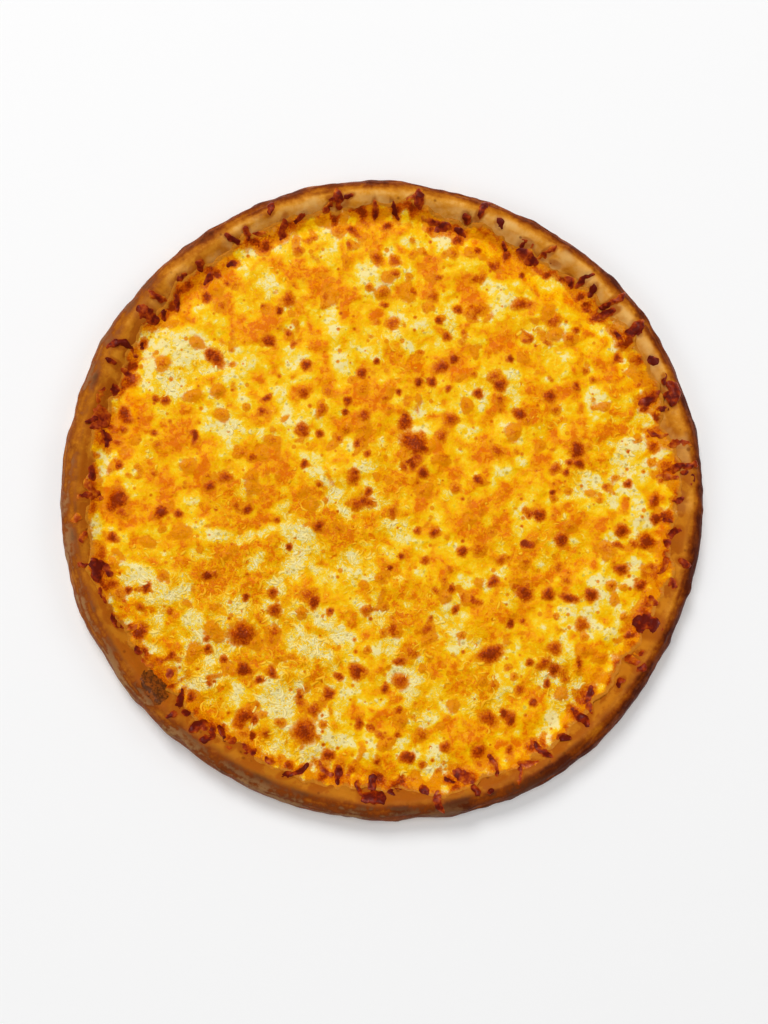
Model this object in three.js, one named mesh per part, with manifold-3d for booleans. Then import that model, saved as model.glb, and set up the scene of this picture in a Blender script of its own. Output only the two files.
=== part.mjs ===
// A whole cheese pizza, baked and uncut: a disc of dough with a low rounded rim, and on it one melted
// sheet of white and orange cheese. The cheese swells in toasted blisters, and at its edge toasted
// strands have run up over the rim. A few crisp flakes of cheese sit on the rim by themselves.
// Millimetres, +Z up, with the origin in the middle of the flat underside.
import * as THREE from "three";
import { mergeVertices } from "three/addons/utils/BufferGeometryUtils.js";
import Module from "manifold-3d";

// Driving dimensions
const OUTLINE_RADIUS = 178; // a large pizza, 14 inches across
const RIM_HEIGHT = 18; // to the crest of the rim
const CREST_INSET = 8.5; // from the outline in to the crest
const RIM_WIDTH = 25; // from the outline in to the flat dough under the cheese
const WIDEST_HEIGHT = 7.5; // where the side of the rim bulges most
const BASE_INSET = 6.5; // from the outline in to where the underside is flat
const BASE_FULLNESS = 0.8; // under 1 the foot of the rim is squarer than a quarter round
const DOUGH_THICKNESS = 6; // under the cheese
const CHEESE_THICKNESS = 4.2; // over the middle of the pizza
const CHEESE_INSET = 14.5; // from the outline in to the edge of the cheese
const CHEESE_EDGE_THICKNESS = 0.9; // where the sheet ends on the slope of the rim
const EDGE_ROUNDING = 1.5; // just outside that edge the sheet falls to the dough over this width
const THINNING_WIDTH = 22; // the sheet thins over this width, as it climbs the rim
const CLEARANCE = 0.4; // between the dough and the cheese, measured upwards

// How finely the solids are faceted
const AROUND = 112;
const FOOT_STEPS = 3;
const SHOULDER_STEPS = 4;
const SLOPE_STEPS = 4;
const CHEESE_CELLS = 34;
const EDGE_RINGS = 2; // of the cells, narrower than the rest, on the slope of the rim
const EDGE_RINGS_WIDTH = 9;
const STRAND_FACETS = [6, 4];
const BLISTER_FACETS = [6, 4];

// Hand-shaped dough isn't a true circle: [waves around, size in mm, degrees to the first wave].
const OUTLINE_WAVES = [[2, 0.7, -37], [3, 0.6, 48], [4, 0.8, 24], [7, 0.4, -6]];
const CREST_WAVES = [[3, 0.5, 80], [5, 0.45, 20], [8, 0.3, 11]];
const CHEESE_EDGE_WAVES = [[4, 0.9, 10], [7, 0.9, 33], [13, 0.8, 5], [22, 0.6, 3]];

// The surface of the cheese rolls in long low waves, laid over each other at headings that a golden
// angle apart spreads evenly.
const LUMP_WAVES = 11;
const LUMP_LENGTHS = [16, 42];
const LUMP_SIZE = 0.2;
const GOLDEN_ANGLE = 137.508;

// Toasted cheese that ran over the rim, and the crisp flakes on it:
// [degrees round the pizza, distance out from its middle, length, width, degrees from radial].
const RIM_STRANDS = [
  [5.6, 170, 9, 4.5, 10],
  [20, 170.5, 12.5, 8, 80],
  [20.4, 158, 13, 6, 15],
  [34, 168.5, 13, 7, 5],
  [40.5, 170, 13, 4.2, -10],
  [59.5, 157, 14, 6.5, 85],
  [71.5, 169, 12, 4.5, -15],
  [84, 166.5, 11, 5.5, 10],
  [99.5, 167.5, 11, 5.5, 0],
  [112.3, 171.5, 8.5, 4.5, -35],
  [139.6, 167, 11, 4.2, 12],
  [143.5, 165, 13, 8.5, 0],
  [151.2, 168, 16, 4.6, 30],
  [154.6, 167, 7.5, 3.4, 10],
  [165.5, 162.5, 14.5, 9, 88],
  [195, 163, 14, 6.5, 85],
  [219.8, 164, 21, 11, 80],
  [226, 166, 8, 4, -10],
  [231, 162, 10.5, 5, -25],
  [233.6, 162.5, 11, 6, 0],
  [267.5, 165, 14, 7, 90],
  [285, 159.5, 12, 6.5, 55],
  [289, 170.5, 4, 3.4, 0],
  [311, 163.5, 9, 5.5, 0],
  [325.5, 169, 8.5, 4.4, 50],
  [333.5, 161, 15, 12, 0],
  [347, 169, 8, 4.2, -20],
  [352.5, 162, 8, 5.5, 60],
];
const STRAND_HEIGHT = 1.25; // a strand stands this far out of what it lies on
const JOIN_OVERLAP = 0.6; // a strand that reaches this far over the cheese's edge is part of the cheese
// Smaller ones in between, spread by rule
const SMALL_STRANDS = 12;
const SMALL_STRAND_OFFSETS = [-2, 2.5]; // out from the cheese's edge
const SMALL_STRAND_LENGTHS = [6, 10];
const SMALL_STRAND_WIDTHS = [3, 4.4];
const SMALL_STRAND_TURNS = [-70, 70]; // degrees from radial

// The largest toasted blisters on the cheese: [to the right, away from the front, across, how long].
const LARGE_BLISTERS = [
  [-45, 72, 5.5, 1], [-14, 68, 5.5, 1], [25, 63.5, 5, 1.1], [51, 57, 5, 1], [63.5, 62, 7, 1],
  [15.5, 28, 11, 1.4], [20, 12, 6, 1], [-79, -77, 11, 1.2], [-78, -96, 7, 1.1], [-124, -10.5, 6, 1.3],
  [-148, -4, 10, 1.2], [35.5, -52, 4.5, 1], [76, -54, 8, 1.3], [89.5, -55, 6.5, 1], [101, -57, 4.5, 2.2],
  [59, -48, 5, 1.3], [106.5, 25.5, 7.5, 1.3], [85, -11, 6.5, 1], [97, -24.5, 7, 1.1], [130.5, -41, 5.5, 1.4],
  [145.5, -25.5, 8, 1.2], [-16, -97.5, 7.5, 1.2], [-45, -129.5, 11, 1.1], [57, -88, 8, 1.6],
];
// Many more at random, over the field and in a belt along the edge, where the cheese toasts most
const FIELD_BLISTERS = 18;
const FIELD_BLISTER_SIZES = [3.8, 6.5];
const FIELD_BLISTER_STRETCHES = [1, 1.4];
const BELT_BLISTERS = 16;
const BELT_BLISTER_SIZES = [4, 7.5];
const BELT_BLISTER_STRETCHES = [1, 1.8];
const BELT_INSET = 4; // from the cheese's edge in to the belt
const BELT_WIDTH = 13;
const BLISTER_HEIGHT_SHARE = 0.17; // of a blister's width

const DEGREE = Math.PI / 180;
const TURN = 2 * Math.PI;

const wasm = await Module();
wasm.setup();

// A repeatable number from 0 to 1 for item i of a kind.
function chance(i, kind) {
  const s = Math.sin(i * 127.1 + kind * 311.7) * 43758.5453;
  return s - Math.floor(s);
}

const between = ([low, high], share) => low + (high - low) * share;

const smooth = (t) => {
  const s = Math.min(Math.max(t, 0), 1);
  return s * s * (3 - 2 * s);
};

const waves = (list, angle) =>
  list.reduce((sum, [count, size, first]) => sum + size * Math.cos(count * (angle - first * DEGREE)), 0);

const outlineRadius = (angle) => OUTLINE_RADIUS + waves(OUTLINE_WAVES, angle);
const cheeseEdge = (angle) => outlineRadius(angle) - CHEESE_INSET + waves(CHEESE_EDGE_WAVES, angle);

// The rim in section, from the end of the flat underside out round the foot, over the crest and down
// to the flat dough. grow moves the upper side up and the outer side out.
function rimSection(grow) {
  const crestRadius = OUTLINE_RADIUS - CREST_INSET;
  const slopeWidth = RIM_WIDTH - CREST_INSET;
  const points = [];
  for (let i = 0; i <= FOOT_STEPS; i++) {
    const q = (i / FOOT_STEPS) * (Math.PI / 2);
    points.push(new THREE.Vector2(
      OUTLINE_RADIUS - BASE_INSET + (BASE_INSET + grow) * Math.sin(q) ** BASE_FULLNESS,
      WIDEST_HEIGHT * (1 - Math.cos(q) ** BASE_FULLNESS),
    ));
  }
  for (let i = 1; i <= SHOULDER_STEPS; i++) {
    const q = (i / SHOULDER_STEPS) * (Math.PI / 2);
    points.push(new THREE.Vector2(
      crestRadius + (CREST_INSET + grow) * Math.cos(q),
      WIDEST_HEIGHT + (RIM_HEIGHT + grow - WIDEST_HEIGHT) * Math.sin(q),
    ));
  }
  for (let i = 1; i <= SLOPE_STEPS; i++) {
    const s = i / SLOPE_STEPS;
    const height = (RIM_HEIGHT - DOUGH_THICKNESS) * (0.5 + 0.5 * Math.cos(Math.PI * s));
    points.push(new THREE.Vector2(crestRadius - slopeWidth * s, DOUGH_THICKNESS + grow + height));
  }
  return points;
}

// The height of the dough's upper surface at a place: flat, up the slope, and round the shoulder.
function doughTop(x, y) {
  const angle = Math.atan2(y, x);
  const inset = outlineRadius(angle) - Math.hypot(x, y);
  const rise = RIM_HEIGHT - DOUGH_THICKNESS;
  let share = 0;
  if (inset < CREST_INSET) {
    const out = Math.min(1 - inset / CREST_INSET, 0.98);
    share = (WIDEST_HEIGHT - DOUGH_THICKNESS + (RIM_HEIGHT - WIDEST_HEIGHT) * Math.sqrt(1 - out * out)) / rise;
  } else if (inset < RIM_WIDTH) {
    share = 0.5 + 0.5 * Math.cos((Math.PI * (inset - CREST_INSET)) / (RIM_WIDTH - CREST_INSET));
  }
  return DOUGH_THICKNESS + share * (rise + waves(CREST_WAVES, angle));
}

function lumps(x, y) {
  let height = 0;
  for (let i = 0; i < LUMP_WAVES; i++) {
    const heading = i * GOLDEN_ANGLE * DEGREE;
    const length = between(LUMP_LENGTHS, chance(i, 2));
    const along = x * Math.cos(heading) + y * Math.sin(heading);
    height += LUMP_SIZE * Math.sin((TURN * along) / length + TURN * chance(i, 3));
  }
  return height;
}

// The height of the cheese. Beyond its edge this is the dough, with the clearance over it.
function cheeseTop(x, y) {
  const inside = cheeseEdge(Math.atan2(y, x)) - Math.hypot(x, y);
  const full = smooth(inside / THINNING_WIDTH);
  const thickness = CHEESE_EDGE_THICKNESS + (CHEESE_THICKNESS - CHEESE_EDGE_THICKNESS) * full;
  const sheet = smooth(inside / EDGE_ROUNDING + 1) * thickness + full * lumps(x, y);
  return doughTop(x, y) + CLEARANCE + sheet;
}

// A closed three.js geometry as a solid
function solidOf(geometry) {
  geometry.deleteAttribute("normal");
  geometry.deleteAttribute("uv");
  const merged = mergeVertices(geometry, 1e-4);
  return new wasm.Manifold(new wasm.Mesh({
    numProp: 3,
    vertProperties: new Float32Array(merged.attributes.position.array),
    triVerts: new Uint32Array(merged.index.array),
  }));
}

// A solid as a three.js geometry, without the loose scraps that a cut can leave
function geometryOf(solid) {
  const largest = solid.decompose().reduce((a, b) => (b.volume() > a.volume() ? b : a));
  const mesh = largest.getMesh();
  const geometry = new THREE.BufferGeometry();
  geometry.setAttribute("position", new THREE.BufferAttribute(mesh.vertProperties, 3));
  geometry.setIndex(new THREE.BufferAttribute(mesh.triVerts, 1));
  geometry.computeVertexNormals();
  return geometry;
}

// Moves every corner of a geometry: place(x, y, z) gives its new place.
function moved(geometry, place) {
  const corners = geometry.attributes.position;
  for (let i = 0; i < corners.count; i++) {
    corners.setXYZ(i, ...place(corners.getX(i), corners.getY(i), corners.getZ(i)));
  }
  return geometry;
}

// The dough: the rim's section turned about the middle, then pulled to the uneven outline and crest
function doughSolid(grow) {
  const profile = [new THREE.Vector2(0, 0), ...rimSection(grow), new THREE.Vector2(0, DOUGH_THICKNESS + grow)];
  const turned = new THREE.LatheGeometry(profile, AROUND).rotateX(Math.PI / 2);
  const rise = RIM_HEIGHT - DOUGH_THICKNESS;
  return solidOf(moved(turned, (x, y, z) => {
    const radius = Math.hypot(x, y);
    if (radius < 1) return [x, y, z];
    const angle = Math.atan2(y, x);
    const stretch = 1 + waves(OUTLINE_WAVES, angle) / radius;
    const lift = (waves(CREST_WAVES, angle) * Math.max(z - DOUGH_THICKNESS, 0)) / rise;
    return [x * stretch, y * stretch, z + lift];
  }));
}

// A square of side 2 laid over the cheese, with every ring of squares a ring round the pizza
function squareToDisc(u, v) {
  const ring = Math.max(Math.abs(u), Math.abs(v));
  if (ring < 1e-9) return [0, 0];
  const angle = Math.abs(u) > Math.abs(v)
    ? (Math.PI / 4) * (v / u) + (u < 0 ? Math.PI : 0)
    : Math.PI / 2 - (Math.PI / 4) * (u / v) + (v < 0 ? Math.PI : 0);
  const edge = cheeseEdge(angle);
  const wide = 1 - (2 * EDGE_RINGS) / CHEESE_CELLS;
  const radius = ring <= wide
    ? (ring / wide) * (edge - EDGE_RINGS_WIDTH)
    : edge - (EDGE_RINGS_WIDTH * (1 - ring)) / (1 - wide);
  return [radius * Math.cos(angle), radius * Math.sin(angle)];
}

// The sheet of cheese before the dough is cut out of it: its underside is down inside the dough.
function sheetSolid() {
  const slab = new THREE.BoxGeometry(2, 2, 1, CHEESE_CELLS, CHEESE_CELLS, 1);
  return solidOf(moved(slab, (u, v, w) => {
    const [x, y] = squareToDisc(u, v);
    return [x, y, w > 0 ? cheeseTop(x, y) : DOUGH_THICKNESS / 2];
  }));
}

// A ball standing on its pole, for a blister, and one lying with its poles at its ends, for a strand
const uprightBall = ([sides, steps]) => new THREE.SphereGeometry(1, sides, steps).rotateX(Math.PI / 2);
const lyingBall = ([sides, steps]) => new THREE.SphereGeometry(1, sides, steps).rotateZ(-Math.PI / 2);

// A blob of cheese draped over a surface: a ball drawn out to its length, width and height, with
// every corner lifted by the surface under it.
function drapedBlob({ x, y, length, width, height, heading }, surface, ball) {
  const [cos, sin] = [Math.cos(heading), Math.sin(heading)];
  return solidOf(moved(ball, (a, b, c) => {
    const along = (a * length) / 2;
    const across = (b * width) / 2;
    const px = x + along * cos - across * sin;
    const py = y + along * sin + across * cos;
    return [px, py, surface(px, py) + c * height];
  }));
}

// The strands named above, then the small ones, each with its place and whether it joins the cheese
function rimStrands() {
  const rows = [...RIM_STRANDS];
  for (let i = 0; i < SMALL_STRANDS; i++) {
    const angle = (i + chance(i, 11)) * (360 / SMALL_STRANDS);
    rows.push([
      angle,
      cheeseEdge(angle * DEGREE) + between(SMALL_STRAND_OFFSETS, chance(i, 12)),
      between(SMALL_STRAND_LENGTHS, chance(i, 13)),
      between(SMALL_STRAND_WIDTHS, chance(i, 14)),
      between(SMALL_STRAND_TURNS, chance(i, 15)),
    ]);
  }
  return rows.map(([degrees, radius, length, width, turn]) => {
    const angle = degrees * DEGREE;
    const reach = Math.max(Math.abs(Math.cos(turn * DEGREE)) * length, width) / 2;
    return {
      x: radius * Math.cos(angle),
      y: radius * Math.sin(angle),
      length,
      width,
      height: STRAND_HEIGHT,
      heading: angle + turn * DEGREE,
      joinsCheese: radius - reach < cheeseEdge(angle) - JOIN_OVERLAP,
    };
  });
}

function blisters() {
  const list = LARGE_BLISTERS.map(([x, y, width, stretch], i) => ({
    x, y, width, length: width * stretch, heading: TURN * chance(i, 21),
  }));
  for (let i = 0; i < FIELD_BLISTERS; i++) {
    const radius = (OUTLINE_RADIUS - CHEESE_INSET - BELT_WIDTH) * Math.sqrt(chance(i, 31));
    const angle = TURN * chance(i, 32);
    const width = between(FIELD_BLISTER_SIZES, chance(i, 33) ** 2);
    list.push({
      x: radius * Math.cos(angle),
      y: radius * Math.sin(angle),
      width,
      length: width * between(FIELD_BLISTER_STRETCHES, chance(i, 34)),
      heading: TURN * chance(i, 35),
    });
  }
  for (let i = 0; i < BELT_BLISTERS; i++) {
    const angle = ((i + chance(i, 41)) * TURN) / BELT_BLISTERS;
    const radius = cheeseEdge(angle) - BELT_INSET - BELT_WIDTH * chance(i, 42);
    const width = between(BELT_BLISTER_SIZES, chance(i, 43));
    list.push({
      x: radius * Math.cos(angle),
      y: radius * Math.sin(angle),
      width,
      length: width * between(BELT_BLISTER_STRETCHES, chance(i, 44)),
      heading: TURN * chance(i, 45),
    });
  }
  return list.map((blister) => ({ ...blister, height: BLISTER_HEIGHT_SHARE * blister.width }));
}

const larger = (blob, by) => ({
  ...blob, length: blob.length + 2 * by, width: blob.width + 2 * by, height: blob.height + by,
});

const strands = rimStrands();
const flakes = strands.filter((strand) => !strand.joinsCheese);
const doughTopCleared = (x, y) => doughTop(x, y) + CLEARANCE;

const crustSolid = wasm.Manifold.union([
  doughSolid(0),
  ...flakes.map((flake) => drapedBlob(flake, doughTop, lyingBall(STRAND_FACETS))),
]);

// What the cheese has to stay clear of: the dough and its flakes, a little larger
const keptClear = wasm.Manifold.union([
  doughSolid(CLEARANCE),
  ...flakes.map((flake) => drapedBlob(larger(flake, CLEARANCE), doughTop, lyingBall(STRAND_FACETS))),
]);

const cheeseSolid = wasm.Manifold.union([
  sheetSolid(),
  ...strands.filter((strand) => strand.joinsCheese)
    .map((strand) => drapedBlob(strand, cheeseTop, lyingBall(STRAND_FACETS))),
  ...blisters().map((blister) => drapedBlob(blister, cheeseTop, uprightBall(BLISTER_FACETS))),
]).subtract(keptClear);

const bakedDough = new THREE.MeshStandardMaterial({ color: 0xc5823a, roughness: 0.6, metalness: 0 });
const meltedCheese = new THREE.MeshStandardMaterial({ color: 0xeeb02a, roughness: 0.4, metalness: 0 });

const crust = new THREE.Mesh(geometryOf(crustSolid), bakedDough);
crust.name = "crust";
const cheese = new THREE.Mesh(geometryOf(cheeseSolid), meltedCheese);
cheese.name = "cheese";

const pizza = new THREE.Group();
pizza.add(crust, cheese);

export default pizza;
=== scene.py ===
import math
from functools import partial

import bpy
import numpy as np
from mathutils import Matrix, Vector


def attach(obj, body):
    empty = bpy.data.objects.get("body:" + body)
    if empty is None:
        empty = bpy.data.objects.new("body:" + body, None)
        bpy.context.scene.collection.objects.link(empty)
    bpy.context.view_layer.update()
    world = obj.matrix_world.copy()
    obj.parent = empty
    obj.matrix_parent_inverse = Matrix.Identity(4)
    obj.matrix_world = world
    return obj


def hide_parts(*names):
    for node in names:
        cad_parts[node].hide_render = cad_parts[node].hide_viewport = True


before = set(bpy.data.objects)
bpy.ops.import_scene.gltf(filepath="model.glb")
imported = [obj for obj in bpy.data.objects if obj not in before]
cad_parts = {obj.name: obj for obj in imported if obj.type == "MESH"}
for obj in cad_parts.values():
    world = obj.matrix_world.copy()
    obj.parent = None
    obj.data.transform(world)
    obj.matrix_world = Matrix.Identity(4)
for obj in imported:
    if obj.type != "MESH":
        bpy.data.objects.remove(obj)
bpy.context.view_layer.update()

mm = 0.001  # every shape below is worked out in millimetres, and becomes metres in makePiece

# The form that the solids were made to, repeated here. A wave is (how many go round the pizza, its size,
# degrees to the first one).
pizza = {
    "outlineRadius": 178,
    "rimHeight": 18,
    "crestInset": 8.5,  # from the outline in to the crest of the rim
    "rimWidth": 25,  # from the outline in to the flat dough
    "widestHeight": 7.5,
    "baseInset": 6.5,
    "baseFullness": 0.8,
    "doughThickness": 6,
    "cheeseThickness": 4.2,
    "cheeseInset": 14.5,
    "cheeseEdgeThickness": 0.9,
    "thinningWidth": 22,
    "clearance": 0.4,
    "outlineWaves": [(2, 0.7, -37), (3, 0.6, 48), (4, 0.8, 24), (7, 0.4, -6)],
    "crestWaves": [(3, 0.5, 80), (5, 0.45, 20), (8, 0.3, 11)],
    "cheeseEdgeWaves": [(4, 0.9, 10), (7, 0.9, 33), (13, 0.8, 5), (22, 0.6, 3)],
}

lumpWaves = {"count": 11, "lengths": (16, 42), "size": 0.2}  # long low lumps in the cheese
goldenAngle = 137.508  # degrees; headings this far apart never line up


def chance(i, kind):
    # a repeatable draw from 0 to 1: the fraction that is left of a large multiple of a sine
    s = np.sin(i * 127.1 + kind * 311.7) * 43758.5453
    return s - np.floor(s)


def between(ends, share):
    # that share of the way from the first end to the second
    return ends[0] + (ends[1] - ends[0]) * share


def smooth(t):
    # the S curve 3t^2 - 2t^3, held at 0 and 1 outside that span
    s = np.clip(t, 0, 1)
    return s * s * (3 - 2 * s)


def polar(radius, angle):
    # a distance from the middle, at an angle, as millimetres to the right and away from the front
    return radius * np.cos(angle), radius * np.sin(angle)


def turned(along, across, heading):
    # steps along and across a heading, as steps to the right and away; minus the heading goes back
    return (along * np.cos(heading) - across * np.sin(heading),
            along * np.sin(heading) + across * np.cos(heading))


def waves(rows, angle):
    # a sum of cosines round the pizza
    return sum(size * np.cos(count * (angle - math.radians(first))) for count, size, first in rows)


def outlineRadius(angle):
    # a circle with its waves
    return pizza["outlineRadius"] + waves(pizza["outlineWaves"], angle)


def cheeseEdge(angle):
    # the outline moved in, with waves of its own
    return outlineRadius(angle) - pizza["cheeseInset"] + waves(pizza["cheeseEdgeWaves"], angle)


def doughTop(x, y):
    # flat in the middle, up a half cosine to the crest, and down a quarter ellipse over the shoulder
    angle = np.arctan2(y, x)
    inset = outlineRadius(angle) - np.hypot(x, y)
    crest, floor = pizza["rimHeight"], pizza["doughThickness"]
    out = np.clip(1 - inset / pizza["crestInset"], 0, 0.98)
    shoulder = pizza["widestHeight"] + (crest - pizza["widestHeight"]) * np.sqrt(1 - out ** 2)
    across = np.clip((inset - pizza["crestInset"]) / (pizza["rimWidth"] - pizza["crestInset"]), 0, 1)
    slope = 0.5 + 0.5 * np.cos(np.pi * across)
    share = np.where(inset < pizza["crestInset"], (shoulder - floor) / (crest - floor), slope)
    return floor + share * (crest - floor + waves(pizza["crestWaves"], angle))


def lumps(x, y):
    # long low waves over each other, with headings a golden angle apart
    height = 0
    for i in range(lumpWaves["count"]):
        heading = math.radians(i * goldenAngle)
        length = between(lumpWaves["lengths"], chance(i, 2))
        along = x * math.cos(heading) + y * math.sin(heading)
        height = height + lumpWaves["size"] * np.sin(2 * np.pi * (along / length + chance(i, 3)))
    return height


def rollingNoise(points, lengths, kind, count=32):
    # plane waves in all directions of space, of lengths between the two given, scaled to spread about 1
    total = 0
    for i in range(count):
        up = 1 - 2 * (i + 0.5) / count
        right, away = polar(math.sqrt(1 - up * up), math.radians(i * goldenAngle))
        along = points @ np.array([right, away, up])
        length = between(lengths, chance(i, kind))
        total = total + np.sin(2 * np.pi * (along / length + chance(i, kind + 1)))
    return total / math.sqrt(count / 2)


plan = {"cells": 1024, "span": 356}  # a square grid over the pizza, which the soft patterns are kept on


def blurred(field, radius):
    # a Gaussian blur by multiplying the field's Fourier transform
    cell = plan["span"] / plan["cells"]
    ky = np.fft.fftfreq(plan["cells"], cell)[:, None]
    kx = np.fft.rfftfreq(plan["cells"], cell)[None, :]
    keep = np.exp(-2 * (np.pi * radius) ** 2 * (kx ** 2 + ky ** 2))
    return np.fft.irfft2(np.fft.rfft2(field) * keep, s=field.shape)


def meltNoise(seed, radius):
    # white noise blurred to blobs about four radii apart, scaled to spread 1
    field = blurred(np.random.default_rng(seed).standard_normal((plan["cells"], plan["cells"])), radius)
    return (field - field.mean()) / field.std()


def strewn(x, y, radius):
    # how much lies at each place when every point given is a soft dot of that radius
    edges = np.linspace(-plan["span"] / 2, plan["span"] / 2, plan["cells"] + 1)
    heap = np.histogram2d(y.ravel(), x.ravel(), bins=(edges, edges))[0]
    field = blurred(heap, radius)
    return field / field.std()


def readField(field, x, y):
    # between the four cells round each place, in proportion to how near they are
    u = (x / plan["span"] + 0.5) * plan["cells"] - 0.5
    v = (y / plan["span"] + 0.5) * plan["cells"] - 0.5
    u, v = np.clip(u, 0, plan["cells"] - 1.001), np.clip(v, 0, plan["cells"] - 1.001)
    i, j = u.astype(int), v.astype(int)
    a, b = u - i, v - j
    return (field[j, i] * (1 - a) * (1 - b) + field[j, i + 1] * a * (1 - b)
            + field[j + 1, i] * (1 - a) * b + field[j + 1, i + 1] * a * b)


def planGrid():
    # the middle of every cell, to the right and away
    middle = (np.arange(plan["cells"]) + 0.5) * plan["span"] / plan["cells"] - plan["span"] / 2
    return np.meshgrid(middle, middle)


def makePiece(name, points, quads, triangles, material, values):
    # a smooth mesh of the points, in metres, with one number of each kind at every point
    mesh = bpy.data.meshes.new(name)
    mesh.from_pydata((points * mm).tolist(), [], quads.tolist() + triangles.tolist())
    mesh.shade_smooth()
    for key, value in values.items():
        layer = mesh.attributes.new(key, "FLOAT", "POINT")
        layer.data.foreach_set("value", np.ascontiguousarray(value, dtype=np.float32))
    mesh.materials.append(material)
    piece = bpy.data.objects.new(name, mesh)
    bpy.context.scene.collection.objects.link(piece)
    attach(piece, "root")
    print(f"{name}: {len(points)} points, {2 * len(quads) + len(triangles)} triangles")
    return piece


def bakeMap(piece, place):
    # the piece's own flat map from above; place(points) gives each corner's two coordinates
    mesh = piece.data
    corners = np.empty(len(mesh.loops), dtype=np.int64)
    mesh.loops.foreach_get("vertex_index", corners)
    points = np.empty(len(mesh.vertices) * 3)
    mesh.vertices.foreach_get("co", points)
    flat = place(points.reshape(-1, 3) / mm)
    layer = mesh.uv_layers.new(name="OFBake")
    layer.data.foreach_set("uv", flat[corners].ravel().astype(np.float32))


def seenFromAbove(points):
    # the plan of the pizza, fitted to a square from 0 to 1
    return points[:, :2] / plan["span"] + 0.5


def shell(index, start, end):
    # Faces over a tube whose points are numbered in rings: quads from ring to ring, and triangles from the
    # points start and end to the first and last of them.
    beside = np.roll(index, -1, axis=1)
    quads = np.stack([index[:-1], beside[:-1], beside[1:], index[1:]], -1).reshape(-1, 4)
    fans = np.concatenate([np.stack([np.full(len(index[0]), start), beside[0], index[0]], -1),
                           np.stack([np.full(len(index[0]), end), index[-1], beside[-1]], -1)])
    return quads, fans


def colour(hexCode):
    # an sRGB hex value as linear red, green, blue and full alpha
    parts = [int(hexCode[i:i + 2], 16) / 255 for i in (1, 3, 5)]
    return [c / 12.92 if c <= 0.04045 else ((c + 0.055) / 1.055) ** 2.4 for c in parts] + [1]


def setInputs(node, inputs):
    # an input that is given another node's output is linked to it, and any other is set
    for key, value in inputs.items():
        if isinstance(value, bpy.types.NodeSocket):
            node.id_data.links.new(value, node.inputs[key])
        else:
            node.inputs[key].default_value = value


def addNode(tree, kind, inputs=(), out=0, stops=(), **settings):
    # A node with its settings and inputs, which come by name or number, or as a list from the first on.
    # It gives back the output asked for, or the node itself where that is None.
    node = tree.nodes.new("ShaderNode" + kind)
    for key, value in settings.items():
        setattr(node, key, value)
    setInputs(node, inputs if isinstance(inputs, dict) else dict(enumerate(inputs)))
    for i, (position, shade) in enumerate(stops):
        if i == len(node.color_ramp.elements):
            node.color_ramp.elements.new(1)
        node.color_ramp.elements[i].position = position
        node.color_ramp.elements[i].color = colour(shade)
    return node if out is None else node.outputs[out]


def newMaterial(name):
    # an empty material: its node maker, its shader and the place on the pizza that its patterns read
    material = bpy.data.materials.new(name)
    material.use_nodes = True
    material.node_tree.nodes.clear()
    add = partial(addNode, material.node_tree)
    shader = add("BsdfPrincipled", out=None)
    add("OutputMaterial", {"Surface": shader.outputs["BSDF"]}, out=None)
    return material, add, shader, add("TexCoord", out="Object")


def perMetre(size):
    return 1 / (size * mm)  # a pattern scale that gives features of this size in millimetres


# the named strands, as in the solids: degrees round, distance from the middle, length, width, degrees
# from radial
rimStrandRows = [
    (5.6, 170, 9, 4.5, 10), (20, 170.5, 12.5, 8, 80), (20.4, 158, 13, 6, 15), (34, 168.5, 13, 7, 5),
    (40.5, 170, 13, 4.2, -10), (59.5, 157, 14, 6.5, 85), (71.5, 169, 12, 4.5, -15),
    (84, 166.5, 11, 5.5, 10), (99.5, 167.5, 11, 5.5, 0), (112.3, 171.5, 8.5, 4.5, -35),
    (139.6, 167, 11, 4.2, 12), (143.5, 165, 13, 8.5, 0), (151.2, 168, 16, 4.6, 30),
    (154.6, 167, 7.5, 3.4, 10), (165.5, 162.5, 14.5, 9, 88), (195, 163, 14, 6.5, 85),
    (219.8, 164, 21, 11, 80), (226, 166, 8, 4, -10), (231, 162, 10.5, 5, -25), (233.6, 162.5, 11, 6, 0),
    (267.5, 165, 14, 7, 90), (285, 159.5, 12, 6.5, 55), (289, 170.5, 4, 3.4, 0), (311, 163.5, 9, 5.5, 0),
    (325.5, 169, 8.5, 4.4, 50), (333.5, 161, 15, 12, 0), (347, 169, 8, 4.2, -20), (352.5, 162, 8, 5.5, 60),
]

# the named blisters, as in the solids: to the right, away from the front, across, how much longer
largeBlisterRows = [
    (-45, 72, 5.5, 1), (-14, 68, 5.5, 1), (25, 63.5, 5, 1.1), (51, 57, 5, 1), (63.5, 62, 7, 1),
    (15.5, 28, 11, 1.4), (20, 12, 6, 1), (-79, -77, 11, 1.2), (-78, -96, 7, 1.1), (-124, -10.5, 6, 1.3),
    (-148, -4, 10, 1.2), (35.5, -52, 4.5, 1), (76, -54, 8, 1.3), (89.5, -55, 6.5, 1), (101, -57, 4.5, 2.2),
    (59, -48, 5, 1.3), (106.5, 25.5, 7.5, 1.3), (85, -11, 6.5, 1), (97, -24.5, 7, 1.1),
    (130.5, -41, 5.5, 1.4), (145.5, -25.5, 8, 1.2), (-16, -97.5, 7.5, 1.2), (-45, -129.5, 11, 1.1),
    (57, -88, 8, 1.6),
]

toast = {
    "namedDark": (0.8, 1),  # how far each kind is baked, from 0 to 1
    "fieldBlisters": 18, "fieldSizes": (3.8, 6.5), "fieldStretch": (1, 1.4), "fieldDark": (0.55, 0.95),
    "beltBlisters": 16, "beltSizes": (4, 7.5), "beltStretch": (1, 1.8), "beltWidth": 13, "beltInset": 4,
    "heightShare": 0.17,
    # finer spots, which the solids leave out: how many, sizes, and from how far out to how far
    "smallSpots": [(250, (3.2, 7), 0, 152), (30, (3.6, 8), 148, 161)],
    "smallStretch": (1, 1.7), "smallDark": (0.05, 1),
    "seed": 14,
}


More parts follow.
